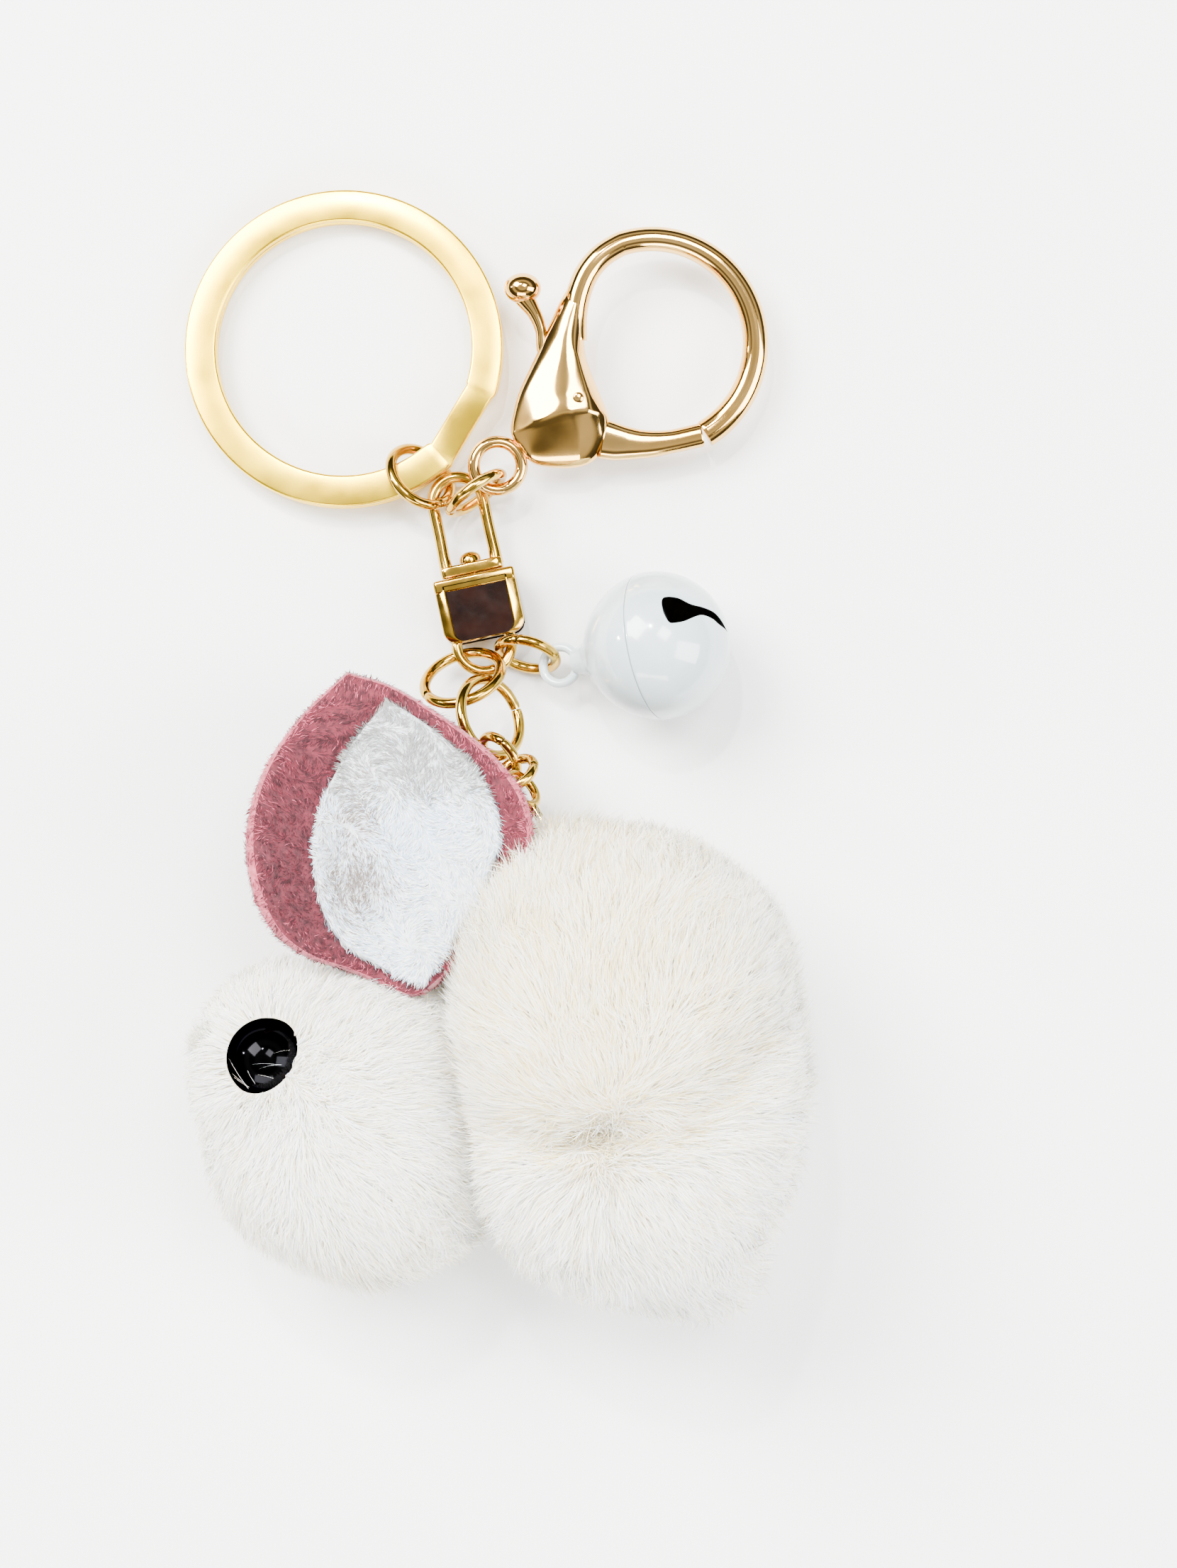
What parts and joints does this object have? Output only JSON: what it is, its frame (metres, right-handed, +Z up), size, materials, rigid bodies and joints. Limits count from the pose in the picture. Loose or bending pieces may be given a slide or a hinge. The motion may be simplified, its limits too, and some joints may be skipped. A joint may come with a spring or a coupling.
{
  "type": "plush keychain",
  "caption": "Long-eared plush charm with a bell, on a short chain with a swivel, a trigger clasp and a flat split key ring.",
  "frame": {"origin": "centre of the bounding box, at its bottom, which is the table that the keychain lies on", "axes": "+Y runs from the plush up to the key ring, +X to the right seen from above with the key ring at the top, +Z up off the table"},
  "size_m": [0.0681, 0.1214, 0.036],
  "materials": {
    "gold": "polished pale gold plating",
    "pale_gold": "polished pale gold cast metal",
    "white_paint": "white gloss enamel",
    "white_pile": "long white pile",
    "stuffing": "polyester fibre",
    "pink_felt": "pink felt",
    "white_felt": "white short pile felt",
    "black_gloss": "black gloss"
  },
  "bodies": {
    "plush": {"body_cover": "white_pile", "body_stuffing": "stuffing", "head_cover": "white_pile", "head_stuffing": "stuffing", "neck_stitching": "stuffing", "anchor_eye": "gold", "anchor_washer": "gold", "near_eye": "black_gloss", "near_eye_washer": "black_gloss", "far_eye": "black_gloss", "far_eye_washer": "black_gloss"},
    "near_ear": {"near_ear_back": "pink_felt", "near_ear_front": "white_felt"},
    "far_ear": {"far_ear_back": "pink_felt", "far_ear_front": "white_felt"},
    "last_link": {"last_link": "gold"},
    "small_link": {"small_link": "gold"},
    "lower_link": {"lower_link": "gold"},
    "upper_link": {"upper_link": "gold"},
    "stirrup_link": {"stirrup_link": "gold"},
    "stirrup": {"swivel_stirrup": "gold", "swivel_rivet": "gold"},
    "bail": {"swivel_bail": "gold"},
    "key_jump": {"key_jump_ring": "gold"},
    "key_ring": {"key_ring": "gold"},
    "clasp_jump": {"clasp_jump_ring": "gold"},
    "clasp": {"clasp_body": "pale_gold", "clasp_rivet": "pale_gold", "clasp_spring": "pale_gold"},
    "lever": {"clasp_lever": "pale_gold"},
    "bell_link": {"bell_link": "gold"},
    "bell": {"bell_top": "white_paint", "bell_bottom": "white_paint"},
    "pellet": {"bell_pellet": "gold"}
  },
  "joints": [
    {"name": "anchor_swing", "type": "hinge", "parent": "plush", "child": "last_link", "pos_m": [0.00183, -0.00373, 0.01279], "axis": [-0.4145, -0.2852, 0.8642], "range_deg": [-11, 3]},
    {"name": "last_link_swing", "type": "hinge", "parent": "last_link", "child": "small_link", "pos_m": [0.00159, -0.00259, 0.00886], "axis": [-0.8336, -0.5496, 0.0554], "range_deg": [-25, 9]},
    {"name": "small_link_swing", "type": "hinge", "parent": "small_link", "child": "lower_link", "pos_m": [-0.00022, 0.00046, 0.00983], "axis": [-0.6519, 0.053, -0.7564], "range_deg": [-25, 1]},
    {"name": "lower_link_swing", "type": "hinge", "parent": "lower_link", "child": "upper_link", "pos_m": [-0.00037, 0.00649, 0.00651], "axis": [-0.6976, 0.273, 0.6624], "range_deg": [-25, 1]},
    {"name": "upper_link_swing", "type": "hinge", "parent": "upper_link", "child": "stirrup_link", "pos_m": [-0.00383, 0.00955, 0.0024], "axis": [-0.9591, -0.2636, -0.1029], "range_deg": [-19, 2]},
    {"name": "stirrup_swing", "type": "hinge", "parent": "stirrup_link", "child": "stirrup", "pos_m": [-0.00145, 0.01231, 0.0026], "axis": [0, 0, 1], "range_deg": [-2, 30]},
    {"name": "swivel_spin", "type": "hinge", "parent": "stirrup", "child": "bail", "pos_m": [-0.00257, 0.01902, 0.0026], "axis": [-0.2079, 0.9781, 0], "continuous": true},
    {"name": "key_jump_swing", "type": "hinge", "parent": "bail", "child": "key_jump", "pos_m": [-0.00544, 0.02872, 0.0026], "axis": [-0.8765, -0.4814, 0], "range_deg": [-1, 25]},
    {"name": "key_ring_swing", "type": "hinge", "parent": "key_jump", "child": "key_ring", "pos_m": [-0.00678, 0.03125, 0.00065], "axis": [-0.7554, 0.6401, 0.1404], "range_deg": [-5, 0]},
    {"name": "clasp_jump_swing", "type": "hinge", "parent": "bail", "child": "clasp_jump", "pos_m": [-0.0015, 0.02717, 0.0026], "axis": [-0.3107, 0.9505, 0], "range_deg": [-10, 25]},
    {"name": "clasp_swing", "type": "hinge", "parent": "clasp_jump", "child": "clasp", "pos_m": [0.00074, 0.02908, 0.00447], "axis": [-0.0722, 0.1025, 0.9921], "range_deg": [-25, 6]},
    {"name": "clasp_lever_open", "type": "hinge", "parent": "clasp", "child": "lever", "pos_m": [0.00881, 0.03545, 0.00474], "axis": [0.0783, -0.0934, 0.9925], "range_deg": [0, 24], "stiffness_Nm_per_rad": 0.02},
    {"name": "bell_link_swing", "type": "hinge", "parent": "stirrup_link", "child": "bell_link", "pos_m": [0.00165, 0.00971, 0.00346], "axis": [0.3122, 0.9426, -0.1181], "range_deg": [-6, 10]},
    {"name": "bell_swing", "type": "hinge", "parent": "bell_link", "child": "bell", "pos_m": [0.00643, 0.00845, 0.00285], "axis": [0.3499, 0.3335, 0.8754], "range_deg": [-25, 14]},
    {"name": "near_ear_bend", "type": "hinge", "parent": "plush", "child": "near_ear", "pos_m": [-0.00668, -0.02556, 0.0211], "axis": [0.9613, 0.2756, 0], "range_deg": [0, 20], "stiffness_Nm_per_rad": 0.002},
    {"name": "far_ear_bend", "type": "hinge", "parent": "plush", "child": "far_ear", "pos_m": [-0.00718, -0.02616, 0.004], "axis": [0.9397, 0.342, 0], "range_deg": [-20, 0], "stiffness_Nm_per_rad": 0.002},
    {"name": "pellet_roll", "type": "hinge", "parent": "bell", "child": "pellet", "pos_m": [0.01752, 0.01024, 0.008], "axis": [0.9201, 0.1681, 0.3539], "range_deg": [-60, 60]}
  ]
}
